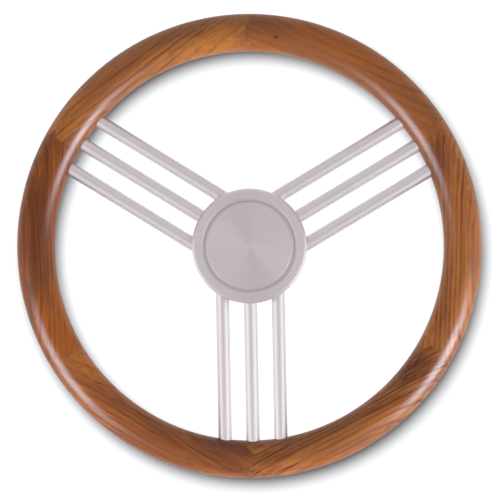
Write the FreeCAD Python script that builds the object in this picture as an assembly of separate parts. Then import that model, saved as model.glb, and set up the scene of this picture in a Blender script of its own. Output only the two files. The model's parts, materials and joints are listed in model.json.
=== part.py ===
"""Boat steering wheel: a six-piece finger-jointed wooden rim on nine round aluminium spokes and a turned hub.

Millimetres. The origin is on the wheel's axis, at the back face of the hub boss. +Z points to the person
who steers, and +Y is up in use, so the bottom group of spokes points along -Y.
"""
import FreeCAD, Part
import math
import os

# Rim
rim_diameter = 350.0
grip_diameter = 28.5
segment_count = 6
finger_length = 5.0
finger_pitch = 7.0
finger_tip_width = 1.2

# Spokes
spoke_diameter = 10.0
spoke_spacing = 21.0
spoke_group_count = 3
spoke_depth_in_rim = 9.0
spoke_depth_in_hub = 12.0
spoke_end_chamfer = 0.6
glue_groove_count = 3
glue_groove_width = 1.2
glue_groove_depth = 0.4
glue_groove_spacing = 2.4
bottom_group_bearing = 270.0
# Each group stands this far off an even spacing on the photographed wheel, in degrees counter-clockwise.
lean_bottom = 0.9
lean_right = 0.8
lean_left = -1.7

# Hub
flange_diameter = 86.5
flange_thickness = 24.0
flange_front_round = 2.0
flange_back_chamfer = 1.0
boss_diameter = 46.0
boss_length = 18.0
boss_root_round = 4.0
boss_end_chamfer = 1.0

# Taper for a three quarter inch steering shaft, one in twelve on the diameter, with a 3/16 inch key
shaft_large_diameter = 19.05
taper_ratio = 12.0
taper_length = 26.0
key_width = 4.76
key_height_above_shaft = 2.4
nut_pocket_diameter = 40.4

# Hub cap and its seal
cap_recess_diameter = 68.2
cap_thickness = 4.0
cap_rebate_width = 1.5
cap_rebate_depth = 1.4
cap_edge_round = 0.3
cap_spigot_length = 7.0
cap_spigot_bore = 32.0
cap_centre_mark_diameter = 1.8
cap_centre_mark_depth = 0.5
seal_section = 2.5
seal_groove_width = 3.0

# Grub screws that hold the spokes in the hub
grub_diameter = 6.0
grub_socket_width = 3.0
grub_socket_depth = 3.0
grub_end_chamfer = 0.6
grub_bite_in_spoke = 1.0

# Clearances, each on one side
glue_film = 0.1
spoke_fit_in_hub = 0.05
thread_clearance = 0.05
cap_edge_gap = 0.3
cap_spigot_clearance = 0.2
seal_clearance = 0.05
socket_end_room = 0.5

# Room that a cutting shape runs past the face it opens
overrun = 1.0

up = FreeCAD.Vector(0, 0, 1)
outwards = FreeCAD.Vector(1, 0, 0)

grip_radius = grip_diameter / 2
rim_centre_radius = rim_diameter / 2 - grip_radius
rim_inner_radius = rim_centre_radius - grip_radius
spoke_radius = spoke_diameter / 2
flange_radius = flange_diameter / 2
boss_radius = boss_diameter / 2
flange_front = boss_length + flange_thickness
spoke_height = boss_length + flange_thickness / 2
cap_seat_height = flange_front - cap_thickness
cap_recess_radius = cap_recess_diameter / 2
nut_pocket_radius = nut_pocket_diameter / 2
seal_height = cap_seat_height - cap_spigot_length / 2
grub_radius = grub_diameter / 2
spoke_underside = spoke_height - spoke_radius
hub_socket_depth = spoke_depth_in_hub + spoke_depth_in_rim + socket_end_room


def cylinder(radius, low, high):
    """A cylinder on the wheel's axis between two heights."""
    return Part.makeCylinder(radius, high - low, FreeCAD.Vector(0, 0, low), up)


def cone(low_radius, high_radius, low, high):
    """A cone frustum on the wheel's axis between two heights."""
    return Part.makeCone(low_radius, high_radius, high - low, FreeCAD.Vector(0, 0, low), up)


def circle_edges(shape, radius, height):
    """The circular edges of a turned shape that have this radius and lie at this height."""
    found = []
    for edge in shape.Edges:
        curve = edge.Curve
        if isinstance(curve, Part.Circle) and math.isclose(curve.Radius, radius, abs_tol=1e-6):
            if math.isclose(curve.Center.z, height, abs_tol=1e-6):
                found.append(edge)
    return found


def turned_to(shape, bearing):
    """A copy of a shape, turned about the wheel's axis by a bearing in degrees."""
    copy = shape.copy()
    copy.rotate(FreeCAD.Vector(0, 0, 0), up, bearing)
    return copy


def reach(radius, offset):
    """How far out a line parallel to a radius, at an offset from it, meets a circle."""
    return math.sqrt(radius ** 2 - offset ** 2)


def spoke_lines():
    """Name, bearing and sideways offset of each spoke, counter-clockwise from the bottom group."""
    groups = (
        ("bottom", lean_bottom, ("left", "middle", "right")),
        ("right", lean_right, ("lower", "middle", "upper")),
        ("left", lean_left, ("upper", "middle", "lower")),
    )
    lines = []
    for index, (group, lean, places) in enumerate(groups):
        bearing = bottom_group_bearing + index * 360 / spoke_group_count + lean
        for step, place in enumerate(places):
            lines.append((f"spoke_{group}_{place}", bearing, (step - 1) * spoke_spacing))
    return lines


def rod_along(radius, start, end, offset, bearing):
    """A cylinder in the plane of the spokes, along a bearing, from one distance out to another."""
    base = FreeCAD.Vector(start, offset, spoke_height)
    return turned_to(Part.makeCylinder(radius, end - start, base, outwards), bearing)


def grub_distance(offset):
    """Distance out, along a spoke, of the grub screw that holds it."""
    return reach(flange_radius, offset) - spoke_depth_in_hub / 2


def make_spoke(bearing, offset):
    """A round bar with glue grooves at its rim end and a spot for its grub screw at the hub end."""
    start = reach(flange_radius, offset) - spoke_depth_in_hub
    end = reach(rim_inner_radius, offset) + spoke_depth_in_rim
    bar = Part.makeCylinder(spoke_radius, end - start, FreeCAD.Vector(start, offset, spoke_height), outwards)
    bar = bar.makeChamfer(spoke_end_chamfer, [edge for edge in bar.Edges if isinstance(edge.Curve, Part.Circle)])
    for number in range(1, glue_groove_count + 1):
        groove_start = end - number * glue_groove_spacing
        base = FreeCAD.Vector(groove_start, offset, spoke_height)
        around = Part.makeCylinder(spoke_radius + overrun, glue_groove_width, base, outwards)
        core = Part.makeCylinder(spoke_radius - glue_groove_depth, glue_groove_width, base, outwards)
        bar = bar.cut(around.cut(core))
    spot_base = FreeCAD.Vector(grub_distance(offset), offset, spoke_underside - overrun)
    spot = Part.makeCylinder(grub_radius + thread_clearance, overrun + grub_bite_in_spoke, spot_base, up)
    return turned_to(bar.cut(spot), bearing)


def make_grub_screw(bearing, offset):
    """A hexagon socket grub screw, its thread drawn plain, flush with the back of the flange."""
    top = spoke_underside + grub_bite_in_spoke
    screw = cylinder(grub_radius, boss_length, top)
    screw = screw.makeChamfer(grub_end_chamfer, circle_edges(screw, grub_radius, boss_length))
    corner_radius = grub_socket_width / math.sqrt(3)
    corners = []
    for step in range(7):
        angle = math.radians(60 * step)
        corners.append(FreeCAD.Vector(corner_radius * math.cos(angle), corner_radius * math.sin(angle), boss_length))
    socket = Part.Face(Part.makePolygon(corners)).extrude(up * grub_socket_depth)
    screw = screw.cut(socket)
    screw.translate(FreeCAD.Vector(grub_distance(offset), offset, 0))
    return turned_to(screw, bearing)


def finger_profile():
    """Points (sideways, height) of the zigzag glue line between two rim segments, from below the rim to above."""
    reach_up = grip_radius + finger_pitch
    steps = math.ceil(2 * reach_up / finger_pitch)
    half_tip = finger_tip_width / 2
    points = []
    for step in range(-steps, steps + 1):
        sideways = finger_length / 2 if step % 2 == 0 else -finger_length / 2
        height = spoke_height + step * finger_pitch / 2
        points.append((sideways, height - half_tip))
        points.append((sideways, height + half_tip))
    return points


def beyond_seam(bearing, side):
    """The space on one side of a finger joint: side is +1 for counter-clockwise and -1 for clockwise."""
    line = finger_profile()
    far = side * rim_diameter / 2
    # The far tips of a segment lie this far out, measured along the bearing of its near seam.
    nearest = rim_inner_radius * math.cos(2 * math.pi / segment_count) - finger_length
    points = [FreeCAD.Vector(nearest, sideways, height) for sideways, height in line]
    points.append(FreeCAD.Vector(nearest, far, line[-1][1]))
    points.append(FreeCAD.Vector(nearest, far, line[0][1]))
    points.append(points[0])
    block = Part.Face(Part.makePolygon(points)).extrude(outwards * (rim_diameter / 2 + overrun - nearest))
    return turned_to(block, bearing)


def make_segment(middle_bearing, sockets):
    """One sixth of the rim, round in section, with fingers at both ends and the sockets of its spokes."""
    half_span = 180 / segment_count
    sector = Part.makeTorus(
        rim_centre_radius, grip_radius, FreeCAD.Vector(0, 0, spoke_height), up, 0, 360, 4 * half_span)
    sector = turned_to(sector, middle_bearing - 2 * half_span)
    sector = sector.common(beyond_seam(middle_bearing - half_span, 1))
    sector = sector.common(beyond_seam(middle_bearing + half_span, -1))
    for socket in sockets:
        if sector.BoundBox.intersect(socket.BoundBox):
            sector = sector.cut(socket)
    return sector


def make_hub():
    """Flange and boss turned from one bar, bored from both ends, with the spoke sockets and grub holes."""
    hub = cylinder(flange_radius, boss_length, flange_front).fuse(cylinder(boss_radius, 0, boss_length))
    hub = hub.removeSplitter()
    hub = hub.makeFillet(boss_root_round, circle_edges(hub, boss_radius, boss_length))
    hub = hub.makeFillet(flange_front_round, circle_edges(hub, flange_radius, flange_front))
    hub = hub.makeChamfer(flange_back_chamfer, circle_edges(hub, flange_radius, boss_length))
    hub = hub.makeChamfer(boss_end_chamfer, circle_edges(hub, boss_radius, 0))
    hub = hub.cut(cylinder(cap_recess_radius, cap_seat_height, flange_front + overrun))
    rebate_radius = cap_recess_radius + cap_rebate_width
    hub = hub.cut(cylinder(rebate_radius, flange_front - cap_rebate_depth, flange_front + overrun))
    hub = hub.makeFillet(cap_edge_round, circle_edges(hub, rebate_radius, flange_front))
    hub = hub.cut(cylinder(nut_pocket_radius, taper_length, cap_seat_height + overrun))
    large_radius = (shaft_large_diameter + overrun / taper_ratio) / 2
    small_radius = (shaft_large_diameter - (taper_length + overrun) / taper_ratio) / 2
    hub = hub.cut(cone(large_radius, small_radius, -overrun, taper_length + overrun))
    key_base = FreeCAD.Vector(-key_width / 2, 0, -overrun)
    key_top = shaft_large_diameter / 2 + key_height_above_shaft
    hub = hub.cut(Part.makeBox(key_width, key_top, taper_length + 2 * overrun, key_base))
    for _, bearing, offset in spoke_lines():
        edge = reach(flange_radius, offset)
        hub = hub.cut(rod_along(spoke_radius + spoke_fit_in_hub, edge - hub_socket_depth,
                                flange_radius + overrun, offset, bearing))
        hole = cylinder(grub_radius + thread_clearance, boss_length - overrun, spoke_height)
        hole.translate(FreeCAD.Vector(grub_distance(offset), offset, 0))
        hub = hub.cut(turned_to(hole, bearing))
    return hub


def make_cap():
    """A turned disc, flush with the flange, on a hollow spigot with a groove for the seal.

    Disc and flange are both stepped down at the seam, so that a shallow groove runs round it.
    """
    cap_radius = cap_recess_radius - cap_edge_gap
    face_radius = cap_radius - cap_rebate_width
    rebate_height = flange_front - cap_rebate_depth
    disc = cylinder(cap_radius, cap_seat_height, rebate_height)
    disc = disc.fuse(cylinder(face_radius, rebate_height, flange_front)).removeSplitter()
    disc = disc.makeFillet(cap_edge_round, circle_edges(disc, face_radius, flange_front))
    spigot_radius = nut_pocket_radius - cap_spigot_clearance
    cap = disc.fuse(cylinder(spigot_radius, cap_seat_height - cap_spigot_length, cap_seat_height))
    cap = cap.removeSplitter()
    cap = cap.cut(cylinder(cap_spigot_bore / 2, cap_seat_height - cap_spigot_length - overrun, cap_seat_height))
    groove_low = seal_height - seal_groove_width / 2
    groove_high = seal_height + seal_groove_width / 2
    groove_radius = nut_pocket_radius - seal_section - 2 * seal_clearance
    groove = cylinder(spigot_radius + overrun, groove_low, groove_high)
    cap = cap.cut(groove.cut(cylinder(groove_radius, groove_low, groove_high)))
    mark = cone(0, cap_centre_mark_diameter / 2, flange_front - cap_centre_mark_depth, flange_front)
    return cap.cut(mark)


def make_seal():
    """The rubber ring round the spigot that grips the wall of the nut pocket."""
    ring_radius = nut_pocket_radius - seal_clearance - seal_section / 2
    return Part.makeTorus(ring_radius, seal_section / 2, FreeCAD.Vector(0, 0, seal_height), up)


pieces = {}

rim_sockets = []
grub_screws = []
for name, bearing, offset in spoke_lines():
    pieces[name] = make_spoke(bearing, offset)
    socket_end = reach(rim_inner_radius, offset) + spoke_depth_in_rim + socket_end_room
    rim_sockets.append(rod_along(spoke_radius + glue_film, flange_radius, socket_end, offset, bearing))
    grub_screws.append(make_grub_screw(bearing, offset))

segment_places = ("right", "upper_right", "upper_left", "left", "lower_left", "lower_right")
for index, place in enumerate(segment_places):
    pieces[f"rim_segment_{place}"] = make_segment(index * 360 / segment_count, rim_sockets)

pieces["hub_body"] = make_hub()
pieces["hub_cap"] = make_cap()
pieces["cap_seal"] = make_seal()
pieces["spoke_grub_screws"] = Part.makeCompound(grub_screws)

os.makedirs("parts", exist_ok=True)
for name, shape in pieces.items():
    shape.exportStep(f"parts/{name}.step")
    print(name, "solids", len(shape.Solids), "valid", shape.isValid(), "volume", round(shape.Volume, 1))
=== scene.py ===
"""A boat's steering wheel, seen from straight in front: varnished wooden rim, aluminium spokes and hub."""
import bmesh
import bpy
import json
import math
import numpy as np
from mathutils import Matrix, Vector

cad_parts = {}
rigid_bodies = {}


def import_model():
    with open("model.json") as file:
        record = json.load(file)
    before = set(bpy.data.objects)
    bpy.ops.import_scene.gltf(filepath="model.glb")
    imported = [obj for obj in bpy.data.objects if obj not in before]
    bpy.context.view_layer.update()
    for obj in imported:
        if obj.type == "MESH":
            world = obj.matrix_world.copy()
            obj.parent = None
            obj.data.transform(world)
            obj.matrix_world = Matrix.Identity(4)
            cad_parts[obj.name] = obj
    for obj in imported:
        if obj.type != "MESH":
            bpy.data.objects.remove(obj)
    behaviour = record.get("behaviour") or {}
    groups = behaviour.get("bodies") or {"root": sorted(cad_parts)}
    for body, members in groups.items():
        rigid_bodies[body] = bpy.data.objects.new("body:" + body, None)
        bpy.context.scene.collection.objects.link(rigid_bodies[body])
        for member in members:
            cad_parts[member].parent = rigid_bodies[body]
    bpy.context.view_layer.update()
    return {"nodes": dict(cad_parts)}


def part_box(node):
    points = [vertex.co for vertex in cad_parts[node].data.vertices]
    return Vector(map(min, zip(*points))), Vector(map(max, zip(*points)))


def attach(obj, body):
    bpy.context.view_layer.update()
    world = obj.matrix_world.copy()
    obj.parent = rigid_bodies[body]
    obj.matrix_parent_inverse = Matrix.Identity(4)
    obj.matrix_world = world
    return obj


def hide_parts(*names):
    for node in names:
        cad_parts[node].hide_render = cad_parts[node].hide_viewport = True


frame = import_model()

# The rim: six boards of straight-grained hardwood, sawn to an arc and glued end to end, then turned round.
# Finger joints hold the ends. The fingers lie flat, one above the other, so each glue line runs to and fro
# with height: straight along the crown of the grip, and in scallops down its sides.
segment_low, segment_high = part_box("rim_segment_right")
grip_radius = (segment_high.z - segment_low.z) / 2
rim_height = (segment_high.z + segment_low.z) / 2
rim_radius = segment_high.x - grip_radius
board_span = math.radians(60)
finger_length = 0.005
finger_pitch = 0.007
finger_tip_width = 0.0012
columns_along_board = 72
rows_around_half_grip = 96


def finger_offset(height):
    """Sideways place of the glue line at a height above the middle.

    It is a triangle wave of the height, with its points cut flat.
    """
    phase = np.mod(height / finger_pitch, 1.0)
    triangle = 4 * np.abs(phase - 0.5) - 1
    flat_share = 2 * finger_tip_width / finger_pitch
    return finger_length / 2 * np.clip(triangle / (1 - flat_share), -1, 1)


def grip_angles():
    """Angles round the outer half of the grip, bottom to top, with one at each corner of the fingers."""
    even = np.linspace(-math.pi / 2, math.pi / 2, rows_around_half_grip + 1)
    reach = math.ceil(2 * grip_radius / finger_pitch)
    steps = np.arange(-reach, reach + 1) * finger_pitch / 2
    corners = np.concatenate([steps - finger_tip_width / 2, steps + finger_tip_width / 2])
    corners = corners[np.abs(corners) < grip_radius]
    return np.unique(np.concatenate([even, np.arcsin(corners / grip_radius)]))


def board_shape(bearing):
    """Vertices, faces, distance to the nearer glue line and end loops of one board.

    A point is at radius rim_radius + grip_radius * cos(around), at height rim_height + grip_radius *
    sin(around), and at a bearing that runs from one glue line to the other in cosine steps, closest at the
    ends. Each end is closed by level strips, from the outer to the inner side at the same height.
    """
    outer = grip_angles()
    around = np.concatenate([outer, (math.pi - outer)[::-1][1:-1]])
    radius = rim_radius + grip_radius * np.cos(around)
    height = grip_radius * np.sin(around)
    lean = np.arcsin(finger_offset(height) / radius)
    share = (1 - np.cos(math.pi * np.linspace(0, 1, columns_along_board + 1))) / 2
    angle = bearing - board_span / 2 + lean[None, :] + share[:, None] * board_span
    points = np.stack([radius * np.cos(angle), radius * np.sin(angle),
                       np.broadcast_to(rim_height + height, angle.shape)], axis=-1)
    seam_distance = np.minimum(share, 1 - share)[:, None] * board_span * radius[None, :]
    count = len(around)
    index = np.arange((columns_along_board + 1) * count).reshape(-1, count)
    after = np.roll(index, -1, axis=1)
    sides = np.stack([index[:-1], index[1:], after[1:], after[:-1]], axis=-1).reshape(-1, 4).tolist()
    top = len(outer) - 1
    upward = np.arange(1, top - 1)
    across = count - upward
    first = np.stack([upward, upward + 1, across - 1, across], axis=-1).tolist()
    first += [[0, 1, count - 1], [top - 1, top, top + 1]]
    last = [[corner + int(index[-1, 0]) for corner in face[::-1]] for face in first]
    return points.reshape(-1, 3), sides + first + last, seam_distance.ravel(), (index[0], index[-1])


def new_piece(name, points, faces):
    """A smooth-shaded mesh object at the origin, with its place in its vertices."""
    mesh = bpy.data.meshes.new(name)
    mesh.from_pydata(np.asarray(points).tolist(), [], faces)
    mesh.polygons.foreach_set("use_smooth", np.ones(len(mesh.polygons), bool))
    piece = bpy.data.objects.new(name, mesh)
    bpy.context.scene.collection.objects.link(piece)
    return piece


def finish_piece(piece, material, slot, *nodes):
    """Dresses a piece, lets it ride on the wheel and stand for the nodes that it shows."""
    piece.data.materials.clear()
    piece.data.materials.append(material)
    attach(piece, "root")
    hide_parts(*nodes)


def colour(text):
    """Linear RGBA of an sRGB hex colour."""
    parts = np.array([int(text[i:i + 2], 16) for i in (1, 3, 5)]) / 255
    linear = np.where(parts <= 0.04045, parts / 12.92, ((parts + 0.055) / 1.055) ** 2.4)
    return (*linear.tolist(), 1.0)


def new_material(name):
    """A material with only its Principled shader and its output, and that shader."""
    material = bpy.data.materials.new(name)
    material.use_nodes = True
    return material, material.node_tree.nodes["Principled BSDF"]


def add_node(tree, kind, inputs=None, output=0, **settings):
    """Adds a shader node with its settings, feeds its inputs from values or sockets, returns one output."""
    made = tree.nodes.new("ShaderNode" + kind)
    for name, value in settings.items():
        setattr(made, name, value)
    for key, value in (inputs or {}).items():
        if isinstance(value, bpy.types.NodeSocket):
            tree.links.new(value, made.inputs[key])
        else:
            made.inputs[key].default_value = value
    return made.outputs[output]


# The wood: an oily tropical hardwood such as teak, quarter sawn, so the growth rings show as straight lines
# along each board. Late wood is a thin red-brown line, and bands of orange and darker brown run with it.
# Coats of varnish lie over it, so the gloss is a soft one and the figure sits beneath. A ring's line rises
# over ring_rise and ends within ring_fall, which are in millimetres, as in the table of the boards.
late_wood = "#522509"
middle_tone_at = 0.45
ring_low = 0.124
ring_high = 0.180
ring_rise = 1.3
ring_fall = 0.6
slow_bend = 0.007
quick_bend = 0.0024
mean_bend = (slow_bend + quick_bend) / 2
mark_depth = 0.008
stain_depth = 0.016
fibre_weight = 0.42
broad_weight = 0.28
pore_weight = 0.27
seam_weight = 0.35
seam_width = 0.0005

# The spokes' holes are drilled into the rim's inner side, three to a group. Round each lies a dark ring,
# partly a glue line and partly painted shade where the bar goes into the wood.
spoke_spacing = 0.021
group_bearings = {"bottom": 270.9, "right": 30.8, "left": 148.3}
glue_and_shade_ring_inner = 0.0053
glue_and_shade_ring_outer = 0.0060
glue_and_shade_reach_aside = 0.0290
glue_and_shade_reach_outwards = 0.1500
glue_and_shade_edge = 0.0001
glue_and_shade_weight = 0.5


def board_wood(name, bearing, spokes, lean, light, middle, dark, rings, bands, marks, stains, ring_tilt,
               seed):
    """Solid wood with flat growth rings at distances from the wheel's middle, bent by noise along the grain.

    bearing is the board's and lean its grain's, in degrees; spokes is the group that meets it; light, middle
    and dark are its tones. rings holds (distance, strength) and bands (distance, half width, strength).
    marks are pin knots and dark flecks, and stains are clouds of darker or lighter wood: (distance, place
    along the board, half width, half length, strength). All lengths are in millimetres.
    """
    wood, shader = new_material(name)
    tree = wood.node_tree
    place = add_node(tree, "TexCoord", output="Object")
    turned = (0, 0, -math.radians(bearing + lean))
    local = add_node(tree, "Mapping", {"Vector": place, "Rotation": turned, "Location": (0, 0, -rim_height)})

    def stretched_noise(source, across, along, detail, shift):
        """Noise with features this wide across the grain and this long along it, in metres."""
        grown = add_node(tree, "VectorMath", {0: source, 1: (1 / across, 1 / along, 1 / across),
                                              2: (seed * 17.0 + shift, shift, seed * 5.0)},
                         operation="MULTIPLY_ADD")
        return add_node(tree, "TexNoise", {"Vector": grown, "Scale": 1.0, "Detail": detail})

    def between(value, low, high, bottom=0.0, top=1.0):
        """Carries one range of a value to another, and holds it there."""
        return add_node(tree, "MapRange", {"Value": value, "From Min": low, "From Max": high,
                                           "To Min": bottom, "To Max": top})

    def spot(distance, along, width, length, depth):
        """Distance from the middle of an ellipsoid in the wood, as a share of its half sizes."""
        centre = (-distance / width, -along / length, -grip_radius / depth)
        scale = (1000 / width, 1000 / length, 1 / depth)
        shifted = add_node(tree, "VectorMath", {0: local, 1: scale, 2: centre}, operation="MULTIPLY_ADD")
        return add_node(tree, "VectorMath", {0: shifted}, output="Value", operation="LENGTH")

    def summed(value, factor, rest):
        """Value times factor, plus the rest."""
        return add_node(tree, "Math", {0: value, 1: factor, 2: rest}, operation="MULTIPLY_ADD")

    def profile(stops):
        """A curve over the distance from the wheel's middle, through (distance, value), distances in mm."""
        curve = add_node(tree, "ValToRGB", {0: share})
        ends = curve.node.color_ramp.elements
        ends[1].color = (0, 0, 0, 1)
        for distance, value in stops:
            stop = (distance / 1000 - ring_low) / (ring_high - ring_low)
            ends.new(stop).color = (value, value, value, 1)
        return curve

    sides = add_node(tree, "SeparateXYZ", {0: local}).node.outputs
    slow = stretched_noise(local, across=0.050, along=0.160, detail=2.0, shift=0.0)
    quick = stretched_noise(local, across=0.010, along=0.032, detail=2.0, shift=2.0)
    distance = summed(quick, quick_bend, summed(slow, slow_bend, sides[0]))
    distance = summed(sides[2], ring_tilt, distance)
    grain = add_node(tree, "CombineXYZ", {0: distance, 1: sides[1], 2: sides[2]})
    share = between(distance, ring_low + mean_bend, ring_high + mean_bend)
    line = profile([stop for ring, strength in rings
                    for stop in ((ring - ring_rise, 0.0), (ring, strength), (ring + ring_fall, 0.0))])
    band = profile([stop for centre, width, strength in bands
                    for stop in ((centre - width, 0.0), (centre, strength), (centre + width, 0.0))])
    fading = stretched_noise(grain, across=0.004, along=0.045, detail=1.0, shift=3.0)
    fading = between(fading, low=0.34, high=0.60, bottom=0.4, top=1.25)
    broad = stretched_noise(grain, across=0.006, along=0.110, detail=1.0, shift=9.0)
    broad = between(broad, low=0.30, high=0.70, bottom=0.2, top=1.2)
    fibre = stretched_noise(grain, across=0.0015, along=0.045, detail=4.0, shift=5.0)
    fibre = between(fibre, low=0.37, high=0.63, bottom=-0.08, top=0.92)
    pore = stretched_noise(grain, across=0.0008, along=0.012, detail=2.0, shift=7.0)
    pore = between(pore, low=0.48, high=0.72)
    shade = summed(fibre, fibre_weight, summed(broad, broad_weight, band))
    for *place_and_size, strength in stains:
        cloud = between(spot(*place_and_size, stain_depth), low=0.3, high=1.3, bottom=1.0, top=0.0)
        shade = summed(cloud, strength, shade)
    tint = add_node(tree, "ValToRGB", {0: shade})
    tones = tint.node.color_ramp.elements
    tones[0].color = colour(light)
    tones[1].color = colour(dark)
    tones.new(middle_tone_at).color = colour(middle)
    seam = add_node(tree, "Attribute", output="Fac", attribute_name="seam_distance")
    seam = between(seam, low=0.0, high=seam_width, bottom=seam_weight, top=0.0)
    drawn = summed(pore, pore_weight, seam)
    drawn = summed(line, fading, drawn)
    for *place_and_size, strength in marks:
        fleck = between(spot(*place_and_size, mark_depth), low=0.5, high=1.2, bottom=1.0, top=0.0)
        drawn = summed(fleck, strength, drawn)
    # A dark ring round each spoke's hole: a glue line, and painted shade where the bar enters the wood.
    turned = (0, 0, -math.radians(group_bearings[spokes]))
    holes = add_node(tree, "Mapping", {"Vector": place, "Rotation": turned, "Location": (0, 0, -rim_height)})
    holes = add_node(tree, "SeparateXYZ", {0: holes}).node.outputs
    aside = add_node(tree, "Math", {0: holes[1], 1: spoke_spacing / 2}, operation="PINGPONG")
    aside = add_node(tree, "CombineXYZ", {0: aside, 1: holes[2]})
    aside = add_node(tree, "VectorMath", {0: aside}, output="Value", operation="LENGTH")
    glue_and_shade_ring = between(aside, low=glue_and_shade_ring_inner, high=glue_and_shade_ring_outer, bottom=1.0, top=0.0)
    reach = add_node(tree, "Math", {0: holes[1]}, operation="ABSOLUTE")
    for value, limit in ((reach, glue_and_shade_reach_aside), (holes[0], glue_and_shade_reach_outwards)):
        kept = between(value, low=limit, high=limit + glue_and_shade_edge, bottom=1.0, top=0.0)
        glue_and_shade_ring = add_node(tree, "Math", {0: glue_and_shade_ring, 1: kept}, operation="MULTIPLY")
    drawn = summed(glue_and_shade_ring, glue_and_shade_weight, drawn)
    tint = add_node(tree, "Mix", {0: drawn, 6: tint, 7: colour(late_wood)}, output=2, data_type="RGBA")
    relief = add_node(tree, "Bump", {"Height": pore, "Strength": 0.05, "Distance": 0.0002})
    tree.links.new(tint, shader.inputs["Base Color"])
    tree.links.new(relief, shader.inputs["Normal"])
    shader.inputs["Roughness"].default_value = 0.5
    shader.inputs["Specular IOR Level"].default_value = 0.0
    shader.inputs["Coat Weight"].default_value = 0.6
    shader.inputs["Coat Roughness"].default_value = 0.32
    shader.inputs["Coat IOR"].default_value = 1.48
    return wood


boards = {
    "right": dict(
        bearing=0, spokes="right", lean=-1.2, light="#975B24", middle="#814D25", dark="#62351A",
        rings=((134, 0.5), (139.5, 0.5), (144, 0.9), (147.6, 0.8), (151.5, 0.6), (155, 0.6), (158.6, 0.5),
               (162.1, 0.9), (167.8, 0.5), (170.9, 0.5)),
        bands=((150, 6, 0.2), (163, 4, 0.2)), marks=(),
        stains=((137, 64, 10, 27, 0.55), (157, 5, 8, 40, -0.20), (166, -50, 7, 30, -0.20)),
        ring_tilt=0.25, seed=1),
    "upper_right": dict(
        bearing=60, spokes="right", lean=5.0, light="#894D1D", middle="#794622", dark="#653922",
        rings=((131, 0.3), (137, 0.35), (143, 0.3), (149, 0.4), (155, 0.3), (161, 0.35), (167, 0.3),
               (172, 0.3)),
        bands=((153, 8, 0.22),), marks=((151.1, 47.9, 1.3, 1.9, 0.9),),
        stains=((143, 54, 9, 26, -0.20), (159, 57, 8, 24, 0.15), (168, 0, 10, 70, -0.50)),
        ring_tilt=0.30, seed=2),
    "upper_left": dict(
        bearing=120, spokes="left", lean=6.9, light="#975B23", middle="#7F4D27", dark="#663D28",
        rings=((133, 0.4), (139, 0.35), (144.5, 0.5), (148, 0.35), (152, 0.6), (156, 0.4), (160.5, 0.6),
               (166.6, 0.5), (170, 0.4)),
        bands=((158, 8, 0.1), (172, 12, 0.3)),
        marks=((150.2, -66.6, 1.0, 6.5, 0.5), (152.2, -40.5, 0.6, 3.5, 0.45)),
        stains=((135, -66, 12, 32, -0.40), (157, 51, 10, 26, -0.15)),
        ring_tilt=-0.20, seed=3),
    "left": dict(
        bearing=180, spokes="left", lean=1.0, light="#854716", middle="#6B3813", dark="#53270B",
        rings=((131, 0.5), (137, 0.5), (143, 0.5), (147.5, 0.5), (151.5, 0.6), (154.9, 0.9), (160.9, 0.9),
               (166.6, 0.6), (171.6, 0.5)),
        bands=((156, 6, 0.3), (165, 5, 0.2)), marks=(),
        stains=((145, 58, 17, 34, -0.65), (162, -18, 10, 42, 0.30)),
        ring_tilt=0.20, seed=4),
    "lower_left": dict(
        bearing=240, spokes="bottom", lean=0.0, light="#955721", middle="#7E4720", dark="#5E3219",
        rings=((130, 0.4), (136, 0.4), (142, 0.5), (147.5, 0.5), (153, 0.4), (157.5, 0.4), (160.6, 0.7),
               (166.2, 0.6), (170.3, 0.6)),
        bands=((149, 9, 0.3),), marks=((145.5, -47.3, 0.5, 4.2, 0.6),),
        stains=((140, 62, 17, 36, 0.60), (168, 20, 9, 45, 0.30), (145, -62, 13, 24, -0.25)),
        ring_tilt=-0.30, seed=5),
    "lower_right": dict(
        bearing=300, spokes="bottom", lean=-2.0, light="#985C27", middle="#7D4A23", dark="#4D2813",
        rings=((129, 0.6), (135, 0.7), (139.5, 0.8), (144.5, 0.8), (150, 1.0), (156.5, 1.0), (160.3, 0.4),
               (164.4, 1.0), (169.5, 0.6)),
        bands=((146, 6, 0.2), (152, 8, 0.3), (172, 4, 0.2)), marks=(),
        stains=((136, 69, 13, 30, 0.45), (165, -44, 7, 30, -0.10)),
        ring_tilt=0.20, seed=6),
}
for place, look in boards.items():
    points, faces, seam_distance, ends = board_shape(math.radians(look["bearing"]))
    board = new_piece("rim_board_" + place, points, faces)
    distance = board.data.attributes.new("seam_distance", "FLOAT", "POINT")
    distance.data.foreach_set("value", seam_distance.astype(np.float32))
    corners = np.empty(2 * len(board.data.edges), int)
    board.data.edges.foreach_get("vertices", corners)
    sharp = np.zeros(len(board.data.edges), bool)
    for end in ends:
        sharp |= np.isin(corners, end).reshape(-1, 2).all(axis=1)
    board.data.attributes.new("sharp_edge", "BOOLEAN", "EDGE").data.foreach_set("value", sharp)
    wood = board_wood("varnished_wood_" + place, **look)
    finish_piece(board, wood, "varnished_hardwood", "rim_segment_" + place)

# The spokes: nine lengths of drawn aluminium bar, chamfered at both ends and satin anodised. The rim end has
# grooves that key the glue in the wood; the hub end lies in a socket of the flange, over a grub screw.
_, hub_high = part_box("hub_body")
spoke_low, spoke_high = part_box("spoke_bottom_middle")
flange_radius = hub_high.x
rim_inner_radius = rim_radius - grip_radius
spoke_radius = (spoke_high.z - spoke_low.z) / 2
spoke_depth_in_hub = 0.012
spoke_depth_in_rim = 0.009
spoke_chamfer = 0.0006
glue_groove_width = 0.0012
glue_groove_depth = 0.0004
glue_groove_spacing = 0.0024
glue_grooves = 3
facets_round_spoke = 96
merge_distance = 1e-7
spoke_groups = (
    ("bottom", ("left", "middle", "right")),
    ("right", ("lower", "middle", "upper")),
    ("left", ("upper", "middle", "lower")),
)


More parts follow.
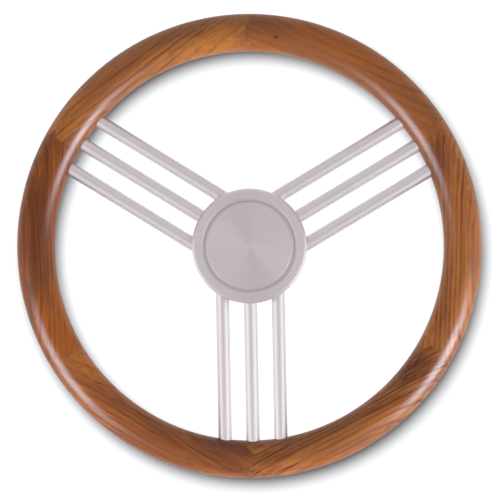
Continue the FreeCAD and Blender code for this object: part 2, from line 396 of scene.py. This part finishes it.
def turned_shape(rows, facets, closed=False):
    """Rows of (radius, height) carried round the vertical axis: x = radius cos, y = radius sin.

    A radius may differ round the row. A shape whose rows start or end on the axis closes there; a closed
    one joins its last row to its first. Drawn with the axis at the left, the rows keep the material on
    their left. Returns the points, the faces, and for each corner of a face its share of the turn and its
    run of profile.
    """
    angle = np.linspace(0, 2 * math.pi, facets, endpoint=False)
    radius = np.array([np.broadcast_to(row[0], (facets,)) for row in rows], float)
    height = np.array([np.broadcast_to(row[1], (facets,)) for row in rows], float)
    points = np.stack([radius * np.cos(angle), radius * np.sin(angle), height], axis=-1)
    index = np.arange(radius.size).reshape(-1, facets)
    run = np.concatenate([[0], np.cumsum(np.hypot(np.diff(radius[:, 0]), np.diff(height[:, 0])))])
    if closed:
        index = np.concatenate([index, index[:1]])
        last_step = math.hypot(radius[0, 0] - radius[-1, 0], height[0, 0] - height[-1, 0])
        run = np.append(run, run[-1] + last_step)
    after = np.roll(index, -1, axis=1)
    faces = np.stack([index[:-1], after[:-1], after[1:], index[1:]], axis=-1).reshape(-1, 4).tolist()
    turn = np.arange(facets) / facets
    turn = np.stack([turn, turn + 1 / facets, turn + 1 / facets, turn], axis=-1)
    turn = np.broadcast_to(turn, (len(run) - 1, facets, 4))
    along = np.stack([run[:-1], run[:-1], run[1:], run[1:]], axis=-1)
    along = np.broadcast_to(along[:, None], turn.shape)
    return points.reshape(-1, 3), faces, np.stack([turn, along], axis=-1).reshape(-1, 2)


def give_map(piece, name, corners):
    """Lays a map on a piece, from one pair of numbers for each corner of its faces."""
    piece.data.uv_layers.new(name=name).uv.foreach_set("vector", corners.astype(np.float32).ravel())


def sharpen(piece, degrees):
    """Merges points that lie together, and keeps a crease where two faces meet at more than an angle."""
    work = bmesh.new()
    work.from_mesh(piece.data)
    bmesh.ops.remove_doubles(work, verts=work.verts, dist=merge_distance)
    bmesh.ops.dissolve_degenerate(work, edges=work.edges, dist=merge_distance)
    work.to_mesh(piece.data)
    work.free()
    piece.data.set_sharp_from_angle(angle=math.radians(degrees))


def spoke_rows(length):
    """Radius and distance along the bar, from the hub end to the rim end, with chamfers and glue grooves."""
    low = spoke_radius - glue_groove_depth
    rows = [(0, 0), (spoke_radius - spoke_chamfer, 0), (spoke_radius, spoke_chamfer)]
    for number in range(glue_grooves, 0, -1):
        start = length - number * glue_groove_spacing
        stop = start + glue_groove_width
        rows += [(spoke_radius, start), (low, start), (low, stop), (spoke_radius, stop)]
    rows += [(spoke_radius, length - spoke_chamfer), (spoke_radius - spoke_chamfer, length), (0, length)]
    return rows


def socket_line(group, step):
    """Direction outwards, direction sideways and sideways offset of one spoke."""
    bearing = math.radians(group_bearings[group])
    out = np.array([math.cos(bearing), math.sin(bearing), 0.0])
    side = np.array([-math.sin(bearing), math.cos(bearing), 0.0])
    return out, side, (step - 1) * spoke_spacing


def laid_along(points, out, side, offset, start):
    """Turned points laid on a spoke's line: their axis becomes the outward direction, from a distance on."""
    return (out * (start + points[:, 2:]) + side * (offset + points[:, :1])
            + np.array([0.0, 0.0, 1.0]) * (rim_height + points[:, 1:2]))


# Drawn bar, satin anodised: the die leaves fine lines along the bar, which spread the gloss round it. They
# are drawn about ninety round the bar, coarser than real ones, so that they show.
die_lines_round_bar = 90
die_line_length = 0.05
cloud_length = 0.02
clouds_round_bar = 5
bar_metal, shader = new_material("anodised_drawn_bar")
tree = bar_metal.node_tree
wrapped = add_node(tree, "UVMap", uv_map="bar")
lines = add_node(tree, "VectorMath", {0: wrapped, 1: (die_lines_round_bar, 1 / die_line_length, 0)},
                 operation="MULTIPLY")
lines = add_node(tree, "TexNoise", {"Vector": lines, "Scale": 1.0, "Detail": 3.0})
bloom = add_node(tree, "VectorMath", {0: wrapped, 1: (clouds_round_bar, 1 / cloud_length, 0)},
                 operation="MULTIPLY")
bloom = add_node(tree, "TexNoise", {"Vector": bloom, "Scale": 1.0, "Detail": 2.0})
tone = add_node(tree, "Mix", {0: bloom, 6: colour("#EEE5EA"), 7: colour("#E8DFE5")}, output=2,
                data_type="RGBA")
rough = add_node(tree, "MapRange", {"Value": lines, "From Min": 0.3, "From Max": 0.7,
                                    "To Min": 0.40, "To Max": 0.47})
relief = add_node(tree, "Bump", {"Height": lines, "Strength": 0.10, "Distance": 0.0002})
tree.links.new(tone, shader.inputs["Base Color"])
tree.links.new(rough, shader.inputs["Roughness"])
tree.links.new(relief, shader.inputs["Normal"])
tree.links.new(add_node(tree, "Tangent", direction_type="UV_MAP", uv_map="bar"), shader.inputs["Tangent"])
shader.inputs["Metallic"].default_value = 1.0
shader.inputs["Anisotropic"].default_value = 0.6

for group, places in spoke_groups:
    for step, place in enumerate(places):
        out, side, offset = socket_line(group, step)
        start = math.sqrt(flange_radius ** 2 - offset ** 2) - spoke_depth_in_hub
        end = math.sqrt(rim_inner_radius ** 2 - offset ** 2) + spoke_depth_in_rim
        points, faces, corners = turned_shape(spoke_rows(end - start), facets_round_spoke)
        name = f"spoke_{group}_{place}"
        bar = new_piece("bar_" + name, laid_along(points, out, side, offset, start), faces)
        give_map(bar, "bar", corners)
        sharpen(bar, 25)
        finish_piece(bar, bar_metal, "anodised_bar", name)

# The hub: flange and boss turned from one aluminium bar, bored to a taper for the shaft and open in front
# for its nut. Nine sockets are drilled in from the edge, each with a threaded hole behind it for a screw.
facets_round_hub = 256
boss_length = 0.018
boss_radius = 0.023
boss_root_round = 0.004
turned_chamfer = 0.001
front_round = 0.002
flange_front = hub_high.z
taper_radius = 0.019050 / 2
taper_length = 0.026
taper_ratio = 12
nut_pocket_radius = 0.0202
cap_recess_radius = 0.0341
cap_thickness = 0.004
cap_seat_height = flange_front - cap_thickness
seam_rebate_width = 0.0015
seam_rebate_depth = 0.0014
seam_edge_round = 0.0003
hub_socket_depth = 0.0215
key_width = 0.00476
key_depth = 0.0024
grub_radius = 0.003
flat_margin = 0.0004
drill_clearance = 0.00005
break_through = 0.001
drill_overrun = 0.010


def quarter_round(centre, radius, start_degrees, stop_degrees, steps=12):
    """Points of an arc in the profile: centre plus radius times (cos, sin), from one angle to another."""
    angle = np.radians(np.linspace(start_degrees, stop_degrees, steps + 1))
    return list(zip(centre[0] + radius * np.cos(angle), centre[1] + radius * np.sin(angle)))


def shoulder(radius, side):
    """The rounded edge from a level front down to a wall at a radius: side 1 if the front lies outside."""
    centre = radius + side * seam_edge_round, flange_front - seam_edge_round
    return quarter_round(centre, seam_edge_round, 90, 90 + 90 * side, 8)


def hub_rows():
    """The hub's profile from the mouth of the bore, round the back, edge and front, and down inside again.

    A row lies a small margin before and after each rounding, so that the flats beside it shade as flat.
    """
    root = boss_radius + boss_root_round, boss_length - boss_root_round
    front_edge = flange_radius - front_round, flange_front - front_round
    rebate_radius = cap_recess_radius + seam_rebate_width
    rebate_floor = flange_front - seam_rebate_depth
    rows = [(taper_radius, 0), (taper_radius + flat_margin, 0)]
    rows += [(boss_radius - turned_chamfer - flat_margin, 0)]
    rows += [(boss_radius - turned_chamfer, 0), (boss_radius, turned_chamfer)]
    rows += quarter_round(root, boss_root_round, 180, 90)
    rows += [(boss_radius + boss_root_round + flat_margin, boss_length)]
    rows += [(flange_radius - turned_chamfer, boss_length), (flange_radius, boss_length + turned_chamfer)]
    rows += [(flange_radius, flange_front - front_round - flat_margin)]
    rows += quarter_round(front_edge, front_round, 0, 90)
    rows += [(flange_radius - front_round - flat_margin, flange_front)]
    rows += [(rebate_radius + seam_edge_round + flat_margin, flange_front)]
    rows += shoulder(rebate_radius, 1)
    rows += [(rebate_radius, rebate_floor), (cap_recess_radius, rebate_floor)]
    rows += [(cap_recess_radius, cap_seat_height), (nut_pocket_radius, cap_seat_height)]
    rows += [(nut_pocket_radius, taper_length)]
    rows += [(taper_radius - taper_length / (2 * taper_ratio), taper_length)]
    return rows


def drill(radius, length, facets=64):
    """Points and faces of a plain rod on the axis, from zero up."""
    points, faces, _ = turned_shape([(0, 0), (radius, 0), (radius, length), (0, length)], facets)
    return points, faces


def bored(piece, cutter):
    """Takes one piece out of another for good, and throws the cutter away."""
    cut = piece.modifiers.new("bore", "BOOLEAN")
    cut.operation = "DIFFERENCE"
    cut.solver = "EXACT"
    cut.use_self = True
    cut.object = cutter
    seen = bpy.context.evaluated_depsgraph_get()
    finished = bpy.data.meshes.new_from_object(piece.evaluated_get(seen), depsgraph=seen)
    piece.modifiers.clear()
    piece.data = finished
    bpy.data.objects.remove(cutter)


cutter_points = []
cutter_faces = []
grub_places = []
for group, places in spoke_groups:
    for step in range(len(places)):
        out, side, offset = socket_line(group, step)
        edge = math.sqrt(flange_radius ** 2 - offset ** 2)
        grub_place = out * (edge - spoke_depth_in_hub / 2) + side * offset
        grub_places.append(grub_place)
        points, faces = drill(spoke_radius + drill_clearance, hub_socket_depth + drill_overrun)
        rod = laid_along(points, out, side, offset, edge - hub_socket_depth)
        points, grub_faces = drill(grub_radius + drill_clearance, rim_height - boss_length + break_through)
        hole = points + grub_place + np.array([0.0, 0.0, boss_length - break_through])
        for part_points, part_faces in ((rod, faces), (hole, grub_faces)):
            base = sum(len(part) for part in cutter_points)
            cutter_points.append(part_points)
            cutter_faces += [[corner + base for corner in face] for face in part_faces]

# The keyway: a plain box along the bore, cut with the rest.
corner_signs = np.array([(x, y, z) for x in (-1, 1) for y in (0, 1) for z in (0, 1)], float)
key_box = corner_signs * (key_width / 2, taper_radius + key_depth, taper_length + 2 * break_through)
key_box -= (0, 0, break_through)
base = sum(len(part) for part in cutter_points)
cutter_points.append(key_box)
cutter_faces += [[corner + base for corner in face] for face in
                 ((0, 1, 3, 2), (4, 6, 7, 5), (0, 4, 5, 1), (2, 3, 7, 6), (0, 2, 6, 4), (1, 5, 7, 3))]
cutter = new_piece("cutter", np.concatenate(cutter_points), cutter_faces)
sharpen(cutter, 30)


def turned_metal(name, rise, rings_per_metre, relief_strength, stretch):
    """Anodised aluminium off the lathe, with its shader and its rings.

    The rings are noise over the distance from the wheel's axis plus rise times the height, and the gloss is
    drawn out across them.
    """
    metal, shader = new_material(name)
    tree = metal.node_tree
    place = add_node(tree, "TexCoord", output="Object")
    flat = add_node(tree, "VectorMath", {0: place, 1: (1, 1, 0)}, operation="MULTIPLY")
    radius = add_node(tree, "VectorMath", {0: flat}, output="Value", operation="LENGTH")
    height = add_node(tree, "SeparateXYZ", {0: place}, output=2)
    across = add_node(tree, "Math", {0: height, 1: rise, 2: radius}, operation="MULTIPLY_ADD")
    rings = add_node(tree, "TexNoise", {"W": across, "Scale": rings_per_metre, "Detail": 3.0},
                     noise_dimensions="1D")
    relief = add_node(tree, "Bump", {"Height": rings, "Strength": relief_strength, "Distance": 0.0002})
    tree.links.new(relief, shader.inputs["Normal"])
    tree.links.new(add_node(tree, "Tangent", direction_type="RADIAL", axis="Z"), shader.inputs["Tangent"])
    shader.inputs["Base Color"].default_value = colour("#EADFE5")
    shader.inputs["Metallic"].default_value = 1.0
    shader.inputs["Anisotropic"].default_value = stretch
    shader.inputs["Anisotropic Rotation"].default_value = 0.25
    return metal, shader, rings


# Turned and satin anodised: rings too fine to see one by one, which draw the gloss out across them.
hub_metal, shader, _ = turned_metal("anodised_turned_hub", rise=1.0, rings_per_metre=3000.0,
                                    relief_strength=0.12, stretch=0.6)
shader.inputs["Roughness"].default_value = 0.45

points, faces, _ = turned_shape(hub_rows(), facets_round_hub, closed=True)
hub = new_piece("turned_hub", points, faces)
bored(hub, cutter)
sharpen(hub, 30)
finish_piece(hub, hub_metal, "anodised_hub", "hub_body")

# The grub screws: nine plain steel screws with hexagon sockets, flush with the back of the flange. Each is
# driven in against the back of one spoke and holds it in its socket.
screw_bite = 0.0008
screw_length = rim_height - spoke_radius + screw_bite - boss_length
screw_chamfer = 0.0006
screw_socket_reach = 0.0015
screw_socket_depth = 0.003
facets_round_screw = 48
turn = np.linspace(0, 2 * math.pi, facets_round_screw, endpoint=False)
hexagon = screw_socket_reach / np.cos(np.mod(turn + math.pi / 6, math.pi / 3) - math.pi / 6)
screw_rows = [(0, screw_socket_depth), (hexagon, screw_socket_depth), (hexagon, 0)]
screw_rows += [(grub_radius - screw_chamfer, 0), (grub_radius, screw_chamfer)]
screw_rows += [(grub_radius, screw_length), (0, screw_length)]
points, faces, _ = turned_shape(screw_rows, facets_round_screw)
screw_points = [points + screw_place + np.array([0.0, 0.0, boss_length]) for screw_place in grub_places]
screw_faces = [[corner + number * len(points) for corner in face]
               for number in range(len(grub_places)) for face in faces]
screws = new_piece("grub_screws", np.concatenate(screw_points), screw_faces)
sharpen(screws, 30)

# Stainless steel, ground at the ends: a little darker and yellower than the aluminium.
screw_metal, shader = new_material("stainless_screw_steel")
shader.inputs["Base Color"].default_value = colour("#B9B4AC")
shader.inputs["Metallic"].default_value = 1.0
shader.inputs["Roughness"].default_value = 0.28
finish_piece(screws, screw_metal, "screw_steel", "spoke_grub_screws")

# The cap: a turned disc, flush with the flange, on a hollow spigot that plugs into the nut pocket. It is
# faced on the lathe, so its front shows fine rings round a small centre mark. Its edge is stepped down and
# rounded, as the flange's is, and the two steps leave a soft groove round the seam.
cap_clearance = 0.0003
cap_radius = cap_recess_radius - cap_clearance
spigot_clearance = 0.0002
spigot_radius = nut_pocket_radius - spigot_clearance
spigot_bore_radius = 0.016
spigot_length = 0.007
spigot_end = cap_seat_height - spigot_length
seal_drop = 0.0035
seal_height = cap_seat_height - seal_drop
seal_groove_radius = 0.0176
seal_groove_half_width = 0.0015
seal_groove_low = seal_height - seal_groove_half_width
seal_groove_high = seal_height + seal_groove_half_width
centre_mark_radius = 0.0009
centre_mark_depth = 0.0005
step_radius = cap_radius - seam_rebate_width
step_floor = flange_front - seam_rebate_depth
cap_rows = [(0, cap_seat_height), (spigot_bore_radius, cap_seat_height), (spigot_bore_radius, spigot_end)]
cap_rows += [(spigot_radius, spigot_end), (spigot_radius, seal_groove_low)]
cap_rows += [(seal_groove_radius, seal_groove_low), (seal_groove_radius, seal_groove_high)]
cap_rows += [(spigot_radius, seal_groove_high), (spigot_radius, cap_seat_height)]
cap_rows += [(cap_radius, cap_seat_height), (cap_radius, step_floor), (step_radius, step_floor)]
cap_rows += shoulder(step_radius, -1)[::-1]
cap_rows += [(step_radius - seam_edge_round - flat_margin, flange_front)]
cap_rows += [(centre_mark_radius, flange_front), (0, flange_front - centre_mark_depth)]
points, faces, _ = turned_shape(cap_rows, facets_round_hub)
cap = new_piece("turned_cap", points, faces)
sharpen(cap, 20)

# Faced aluminium, clear anodised: the tool's rings are about a tenth of a millimetre apart and are drawn
# coarser, so that they show.
cap_metal, shader, rings = turned_metal("anodised_faced_cap", rise=0.0, rings_per_metre=2500.0,
                                        relief_strength=0.15, stretch=0.7)
tree = cap_metal.node_tree
rough = add_node(tree, "MapRange", {"Value": rings, "From Min": 0.3, "From Max": 0.7,
                                    "To Min": 0.40, "To Max": 0.46})
tree.links.new(rough, shader.inputs["Roughness"])
finish_piece(cap, cap_metal, "turned_cap", "hub_cap")

# The seal: a moulded rubber ring in the groove of the spigot, out of sight once the cap is in. The part's
# own ring stands here as it is, and only takes its rubber.
rubber, shader = new_material("black_seal_rubber")
shader.inputs["Base Color"].default_value = colour("#1C1C1D")
shader.inputs["Roughness"].default_value = 0.6
seal = frame["nodes"]["cap_seal"]
seal.data.materials.clear()
seal.data.materials.append(rubber)

# The table: a plain matt sheet, a little cool in colour, on which the wheel lies on its back. Its own lamp
# lights it to white.
paper, shader = new_material("white_table")
shader.inputs["Base Color"].default_value = colour("#A6A8AA")
shader.inputs["Roughness"].default_value = 1.0
shader.inputs["Specular IOR Level"].default_value = 0.0
table_half = 12.0
table = new_piece("table", [(-table_half, -table_half, 0), (table_half, -table_half, 0),
                            (table_half, table_half, 0), (-table_half, table_half, 0)], [[0, 1, 2, 3]])
table.data.materials.append(paper)

# The light: a pale room, dimmer where the camera or a gloss looks into it, with a brighter wall behind the
# top of the wheel. Each lamp in it lights the table, the wood or the metal alone.
room_glow = 0.42
room_glow_seen = 0.30
wall_direction = (0, 0.94, 0.34)
wall_starts = 0.55
wall_glow = 0.60
world = bpy.data.worlds.new("studio")
bpy.context.scene.world = world
world.use_nodes = True
tree = world.node_tree
seen = add_node(tree, "LightPath", output="Is Camera Ray")
seen = add_node(tree, "Math", {0: seen, 1: seen.node.outputs["Is Glossy Ray"]}, operation="ADD",
                use_clamp=True)
glow = add_node(tree, "MapRange", {"Value": seen, "To Min": room_glow, "To Max": room_glow_seen})
wall = add_node(tree, "TexCoord", output="Generated")
wall = add_node(tree, "VectorMath", {0: wall, 1: wall_direction}, output="Value", operation="DOT_PRODUCT")
wall = add_node(tree, "MapRange", {"Value": wall, "From Min": wall_starts, "To Max": wall_glow})
glow = add_node(tree, "Math", {0: glow, 1: wall}, operation="ADD")
tree.links.new(glow, tree.nodes["Background"].inputs["Strength"])
tree.nodes["Background"].inputs["Color"].default_value = (1, 1, 1, 1)


def light_group(name, pieces):
    """A collection of the pieces that a lamp lights, or whose shadows it casts."""
    group = bpy.data.collections.new(name)
    for piece in pieces:
        group.objects.link(piece)
    return group


wooden_pieces = [piece for piece in bpy.data.objects if piece.name.startswith("rim_board_")]
wood_group = light_group("wood", wooden_pieces)
bar_pieces = [piece for piece in bpy.data.objects if piece.name.startswith("bar_spoke_")]
metal_group = light_group("metal", bar_pieces + [hub, cap, screws])

# A round lamp high over the wheel, a little to its upper left, lights the table alone to white and draws the
# rim's shadow close round it.
table_lamp_slope = math.radians(11.3)
table_lamp_turn = math.radians(212)
table_lamp_distance = 6.0
table_lamp_aside = table_lamp_distance * math.sin(table_lamp_slope)
lamp = bpy.data.lights.new("over_table", "AREA")
lamp.shape = "DISK"
lamp.size = 2.5
lamp.energy = 875
lamp_head = bpy.data.objects.new("over_table", lamp)
lamp_head.location = (table_lamp_aside * math.sin(table_lamp_turn),
                      -table_lamp_aside * math.cos(table_lamp_turn),
                      table_lamp_distance * math.cos(table_lamp_slope))
lamp_head.rotation_euler = (table_lamp_slope, 0, table_lamp_turn)
lamp_head.visible_camera = False
lamp_head.light_linking.receiver_collection = light_group("table_only", [table])
lamp_head.light_linking.blocker_collection = wood_group
bpy.context.scene.collection.objects.link(lamp_head)

# Soft suns light the wood and the metal from above, and the wood from one side as well.
suns = (
    ("over_metal", 0.38, 110, 0, 0, metal_group),
    ("over_wood", 0.60, 150, 0, 0, wood_group),
    ("beside_wood", 0.55, 60, 52, 30, wood_group),
)
for name, energy, angle, slope, turn, lit in suns:
    lamp = bpy.data.lights.new(name, "SUN")
    lamp.energy = energy
    lamp.angle = math.radians(angle)
    lamp_head = bpy.data.objects.new(name, lamp)
    lamp_head.rotation_euler = (math.radians(slope), 0, math.radians(turn))
    lamp_head.visible_glossy = lit is not wood_group
    lamp_head.light_linking.receiver_collection = lit
    bpy.context.scene.collection.objects.link(lamp_head)

# Softboxes low at the left and the right draw streaks on the varnish, and a twin of each brightens those
# streaks alone. Dim wide ones at the sides, in front and higher up are there for the metal.
lilac = (0.97, 0.98, 1.10)
cool = (0.97, 1.05, 1.02)
plain = (1.0, 0.96, 0.99)
softbox_distance = 1.7
softboxes = (
    ("wood_left", 214, 21, 0.70, 1.15, 11.5, lilac, wood_group),
    ("wood_right", 329, 17, 0.70, 1.30, 14.0, lilac, wood_group),
    ("gloss_left", 214, 21, 0.70, 1.15, 13.0, lilac, wood_group),
    ("gloss_right", 329, 17, 0.70, 1.30, 20.0, lilac, wood_group),
    ("metal_low_left", 200, 28, 1.70, 1.40, 1.20, cool, metal_group),
    ("metal_low_right", 342, 28, 1.70, 1.40, 1.20, cool, metal_group),
    ("metal_low_front", 270, 16, 2.00, 0.80, 0.50, cool, metal_group),
    ("metal_high_left", 238, 58, 0.80, 0.80, 0.60, plain, metal_group),
    ("metal_high_right", 326, 48, 0.80, 0.80, 1.05, plain, metal_group),
)
for name, bearing_degrees, rise_degrees, width, tall, radiance, tint, lit in softboxes:
    lamp = bpy.data.lights.new("softbox_" + name, "AREA")
    lamp.shape = "RECTANGLE"
    lamp.size = width
    lamp.size_y = tall
    lamp.color = tint
    lamp.energy = radiance * math.pi * width * tall
    box = bpy.data.objects.new("softbox_" + name, lamp)
    bearing = math.radians(bearing_degrees)
    rise = math.radians(rise_degrees)
    level = softbox_distance * math.cos(rise)
    box.location = (level * math.cos(bearing), level * math.sin(bearing), softbox_distance * math.sin(rise))
    box.rotation_euler = (math.pi / 2 - rise, 0, bearing + math.pi / 2)
    box.light_linking.receiver_collection = lit
    box.visible_camera = False
    box.visible_diffuse = not name.startswith("gloss_")
    bpy.context.scene.collection.objects.link(box)

# The camera: straight above the wheel, which lies on its back, with a long lens as in a catalogue picture.
# It is moved by 3 mm and turned by a fifth of a degree, to frame the wheel as the photo does.
camera_distance = 6.0
picture_width = 0.3768
camera_aside = 0.00045
camera_down = 0.0030
camera_roll = math.radians(-0.2)
lens = bpy.data.cameras.new("camera")
lens.sensor_width = 36
lens.lens = lens.sensor_width * camera_distance / picture_width
lens.clip_end = 50
camera = bpy.data.objects.new("camera", lens)
camera.location = (camera_aside, -camera_down, rim_height + camera_distance)
camera.rotation_euler = (0, 0, camera_roll)
bpy.context.scene.collection.objects.link(camera)
bpy.context.scene.camera = camera
bpy.context.scene.view_settings.view_transform = "Standard"
